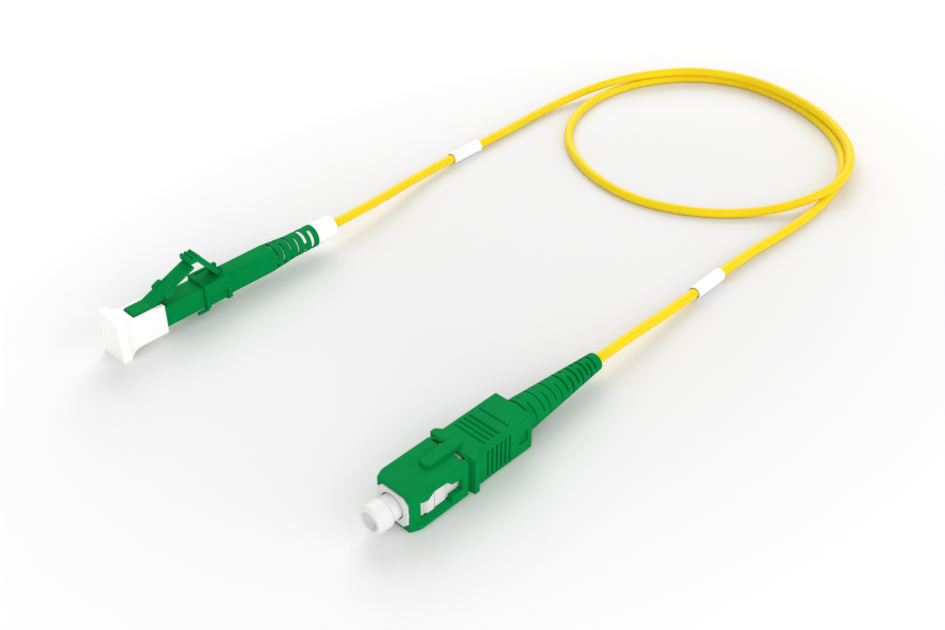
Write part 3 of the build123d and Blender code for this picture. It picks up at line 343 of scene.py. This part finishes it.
def centre_line(cable):
    """Distances in even steps along the cable and the points there, from its curve without thickness."""
    curve = cable.data.copy()
    curve.bevel_depth = 0.0
    probe = bpy.data.objects.new("centre_line_probe", curve)
    mesh = bpy.data.meshes.new_from_object(probe)
    points = np.empty(len(mesh.vertices) * 3)
    mesh.vertices.foreach_get("co", points)
    points = points.reshape(-1, 3)
    bpy.data.objects.remove(probe)
    bpy.data.meshes.remove(mesh)
    bpy.data.curves.remove(curve)
    steps = np.linalg.norm(np.diff(points, axis=0), axis=1)
    run = np.concatenate([[0.0], np.cumsum(steps)])
    even = np.arange(0.0, run[-1], CENTRE_LINE_STEP_MM * MM)
    return even, at_distances(even, run, points)


def unit(vectors):
    """Each vector at length 1."""
    return vectors / np.linalg.norm(vectors, axis=-1, keepdims=True)


def grid_mesh(name, points, rows_close, material):
    """A piece from a grid of points, row by row, joined into four-sided faces.

    Each row is closed on itself. The rows close into a ring where asked, and otherwise the
    first and the last row are filled.
    """
    rows, columns = points.shape[:2]
    index = np.arange(rows * columns).reshape(rows, columns)
    ring = np.vstack([index, index[:1]]) if rows_close else index
    ring = np.hstack([ring, ring[:, :1]])
    corners = [ring[:-1, :-1], ring[:-1, 1:], ring[1:, 1:], ring[1:, :-1]]
    faces = np.stack(corners, axis=-1).reshape(-1, 4).tolist()
    if not rows_close:
        faces += [index[0, ::-1].tolist(), index[-1].tolist()]
    mesh = bpy.data.meshes.new(name)
    mesh.from_pydata(points.reshape(-1, 3).tolist(), [], faces)
    mesh.shade_smooth()
    mesh.materials.append(material)
    return add_object(name, mesh)


def add_marker_sleeve(name, node, body, cable, material):
    """A marker sleeve that follows the cable, in place of the solid's straight ring.

    Its wall's section is a superellipse, long beside the cable and thin across it. Each of its
    points goes round the cable: the place is the centre line's point at that distance, plus the
    wall's radius times the level direction times the cosine of the angle, plus the radius times
    the upward direction times its sine.
    """
    run, line = centre_line(cable)
    middle = np.mean(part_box(node), axis=0)
    middle_run = run[np.argmin(np.linalg.norm(line[:, :2] - middle[:2], axis=1))]
    turn = np.linspace(0.0, 2 * np.pi, SLEEVE_SECTION_POINTS, endpoint=False)
    flat_cos = np.sign(np.cos(turn)) * np.abs(np.cos(turn)) ** SLEEVE_SQUARENESS
    flat_sin = np.sign(np.sin(turn)) * np.abs(np.sin(turn)) ** SLEEVE_SQUARENESS
    along = middle_run + SLEEVE_LENGTH_MM * MM / 2 * flat_cos
    radius = ((SLEEVE_D_MM + SLEEVE_BORE_MM) / 4 + (SLEEVE_D_MM - SLEEVE_BORE_MM) / 4 * flat_sin) * MM
    centre = at_distances(along, run, line)
    forward = unit(at_distances(along, run, np.gradient(line, run, axis=0)))
    level = unit(np.cross(forward, (0.0, 0.0, 1.0)))
    upward = np.cross(level, forward)
    angle = np.linspace(0.0, 2 * np.pi, SLEEVE_ROUND_POINTS, endpoint=False)[None, :, None]
    spoke = np.cos(angle) * level[:, None] + np.sin(angle) * upward[:, None]
    sleeve = grid_mesh(name, centre[:, None] + radius[:, None, None] * spoke, True, material)
    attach(sleeve, body)
    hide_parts(node)
    return sleeve


def add_spring(name, node, joint_name, wire_mm, turns, material):
    """A compression spring with closed ends, in place of the solid's plain helix.

    The wire's centre goes round the plug's axis at an even rate. Along the axis it moves on by
    one wire's thickness over the first and the last turn, and evenly over the turns between. A
    circle follows it: the place is the centre plus the wire's radius times the outward
    direction times the cosine of the angle, plus the radius times the direction square to both
    that and the wire times its sine.
    """
    low, high = np.array(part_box(node))
    wire = wire_mm * MM
    coil_radius = (high[1] - low[1] - wire) / 2
    turn = np.linspace(0.0, turns, turns * SPRING_TURN_POINTS + 1)
    along = np.interp(turn, [0, 1, turns - 1, turns],
                      [low[0] + wire / 2, low[0] + 1.5 * wire, high[0] - 1.5 * wire, high[0] - wire / 2])
    outward = np.stack([0 * turn, np.cos(2 * np.pi * turn), np.sin(2 * np.pi * turn)], axis=-1)
    axis_point = np.array([0.0, (low[1] + high[1]) / 2, (low[2] + high[2]) / 2])
    centre = axis_point + along[:, None] * np.array([1.0, 0.0, 0.0]) + coil_radius * outward
    sideways = np.cross(unit(np.gradient(centre, axis=0)), outward)
    angle = np.linspace(0.0, 2 * np.pi, WIRE_ROUND_POINTS, endpoint=False)[None, :, None]
    circle = np.cos(angle) * outward[:, None] + np.sin(angle) * sideways[:, None]
    spring = grid_mesh(name, centre[:, None] + wire / 2 * circle, False, material)
    joint = next(row for row in frame["joints"] if row["name"] == joint_name)
    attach(spring, joint["parent"])
    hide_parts(node)
    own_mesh(spring)


def add_floor():
    """A matt paper floor that takes the lamps' real shadows, with painted shade as well: pale grey near the
    object, fading to white round it.
    """
    half = FLOOR_HALF_MM * MM
    mesh = bpy.data.meshes.new("floor")
    corners = [(-half, -half, 0), (half, -half, 0), (half, half, 0), (-half, half, 0)]
    mesh.from_pydata(corners, [], [(0, 1, 2, 3)])
    floor = add_object("floor", mesh)
    material, tree, shader, place = new_material("floor_paper_painted_shade")
    reach = [1 / (radius * MM) for radius in PAINTED_SHADE_REACH_MM]
    middle = [-share * offset * MM for share, offset in zip(reach, PAINTED_SHADE_MIDDLE_MM)]
    oval = add_node(tree, "ShaderNodeMapping", {"Vector": place, "Location": (*middle, 0),
                                                "Scale": (*reach, 0)})
    fade = add_node(tree, "ShaderNodeTexGradient", {"Vector": oval.outputs["Vector"]},
                    gradient_type="SPHERICAL")
    # Painted shade: the paper's colour darkens from white to pale grey towards the object
    colour = add_node(tree, "ShaderNodeValToRGB", {"Fac": fade.outputs["Fac"]}, stops=PAINTED_SHADE_STOPS)
    tree.links.new(colour.outputs["Color"], shader.inputs["Base Color"])
    shader.inputs["Roughness"].default_value = 0.95
    shader.inputs["Specular IOR Level"].default_value = 0.0
    floor.data.materials.append(material)


def add_light(name, place_mm, target_mm, side_mm, watts):
    """A square soft lamp that points at a target."""
    data = bpy.data.lights.new(name, "AREA")
    data.shape = "SQUARE"
    data.size = side_mm * MM
    data.energy = watts
    lamp = add_object(name, data)
    lamp.location = Vector(place_mm) * MM
    lamp.rotation_euler = (Vector(target_mm) - Vector(place_mm)).to_track_quat("-Z", "Y").to_euler()


def add_world(strength):
    """A white surround that lights the object evenly; where the camera looks straight at it, it is white."""
    world = bpy.data.worlds.new("studio")
    world.use_nodes = True
    tree = world.node_tree
    tree.nodes.clear()
    path = add_node(tree, "ShaderNodeLightPath")
    fill = add_node(tree, "ShaderNodeBackground", {"Color": (1, 1, 1, 1), "Strength": strength})
    seen = add_node(tree, "ShaderNodeBackground", {"Color": (1, 1, 1, 1), "Strength": 1.0})
    mix = add_node(tree, "ShaderNodeMixShader", {0: path.outputs["Is Camera Ray"], 1: fill.outputs[0],
                                                 2: seen.outputs[0]})
    add_node(tree, "ShaderNodeOutputWorld", {"Surface": mix.outputs[0]})
    bpy.context.scene.world = world


def dress(material, *names):
    """Gives CAD nodes one material in every slot."""
    for name in names:
        piece = nodes[name]
        if not piece.material_slots:
            piece.data.materials.append(material)
        for slot in piece.material_slots:
            slot.material = material


bpy.context.scene.view_settings.view_transform = "Standard"
add_camera()

# Moulded plastics coloured right through: a deep green, satin on the housings' nylon and
# duller on the soft boots
green = moulded_plastic("green_nylon_moulding", "008B43", "00843F", roughness=0.62,
                        grain_mm=0.25, grain_depth_mm=0.012, edge_mm=0.12, sheen=0.02)
boot_green = moulded_plastic("green_soft_boot", "008B43", "00843F", roughness=0.7,
                             grain_mm=0.3, grain_depth_mm=0.015, edge_mm=0.08, sheen=0.02)

# Moulded white plastics: bright and half glossy on the small cap, the boot's tail and the
# sleeves, greyer on the soft large cap and the inner frame, and creamy on the fibre's buffer
white = moulded_plastic("white_cap_plastic", "FBFBFA", "F8F8F7", roughness=0.4,
                        grain_mm=0.25, grain_depth_mm=0.008, edge_mm=0.15)
cap_white = moulded_plastic("white_soft_cap", "E8E8E7", "E3E3E2", roughness=0.45,
                            grain_mm=0.3, grain_depth_mm=0.01, edge_mm=0.2)
frame_white = moulded_plastic("white_frame_plastic", "DFDFDE", "DADAD9", roughness=0.4,
                              grain_mm=0.25, grain_depth_mm=0.008, edge_mm=0.15)
buffer = moulded_plastic("nylon_fibre_buffer", "F2F1EA", "ECEBE2", roughness=0.45,
                         grain_mm=0.2, grain_depth_mm=0.004, edge_mm=0.03)

# Metals: warm bright nickel on brass, pale soft aluminium, and grey drawn wire
nickel = machined_metal("nickel_plated_brass", "D6D2C8", "BDB8AC", roughness=0.22, turning_mm=0.158)
crimp = machined_metal("crimped_aluminium", "CDCED0", "B4B6B9", roughness=0.3, turning_mm=0.198)
steel = machined_metal("spring_wire_steel", "B8BABD", "9C9EA2", roughness=0.25, turning_mm=0.099)
zirconia = fired_zirconia()

cable = add_cable(jacket_pvc())
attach(cable, "cord")
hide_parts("cable")
sleeves = [add_marker_sleeve("sc_marker_band", "sc_marker_sleeve", "sc_marker", cable, white),
           add_marker_sleeve("lc_marker_band", "lc_marker_sleeve", "lc_marker", cable, white)]
add_spring("sc_ferrule_coil", "sc_spring", "sc_ferrule_slide", SC_SPRING_WIRE_MM, SC_SPRING_TURNS, steel)
add_spring("lc_ferrule_coil", "lc_spring", "lc_ferrule_slide", LC_SPRING_WIRE_MM, LC_SPRING_TURNS, steel)

dress(green, "sc_outer_housing", "lc_housing", "lc_latch_arm", "lc_trigger_clip", "lc_trigger")
dress(boot_green, "sc_boot", "lc_boot")
dress(frame_white, "sc_plug_frame")
dress(cap_white, "sc_dust_cap")
dress(white, "lc_dust_cap", "lc_boot_tail")
dress(nickel, "sc_ferrule_flange", "lc_ferrule_flange", "sc_backbone", "lc_spring_stop")
dress(crimp, "sc_crimp_sleeve", "lc_crimp_sleeve")
dress(zirconia, "sc_ferrule", "lc_ferrule")
dress(buffer, "sc_buffered_fibre", "lc_buffered_fibre")

# A broad key lamp behind the object, so that the soft shadows fall towards the camera
add_floor()
add_world(strength=0.68)
add_light("key_lamp", place_mm=(680, 700, 640), target_mm=(60, 0, 0), side_mm=900, watts=7.3)
add_light("fill_lamp", place_mm=(-650, -520, 300), target_mm=(40, 0, 0), side_mm=500, watts=1.9)
add_light("side_lamp", place_mm=(250, -750, 350), target_mm=(50, 0, 0), side_mm=700, watts=2.15)
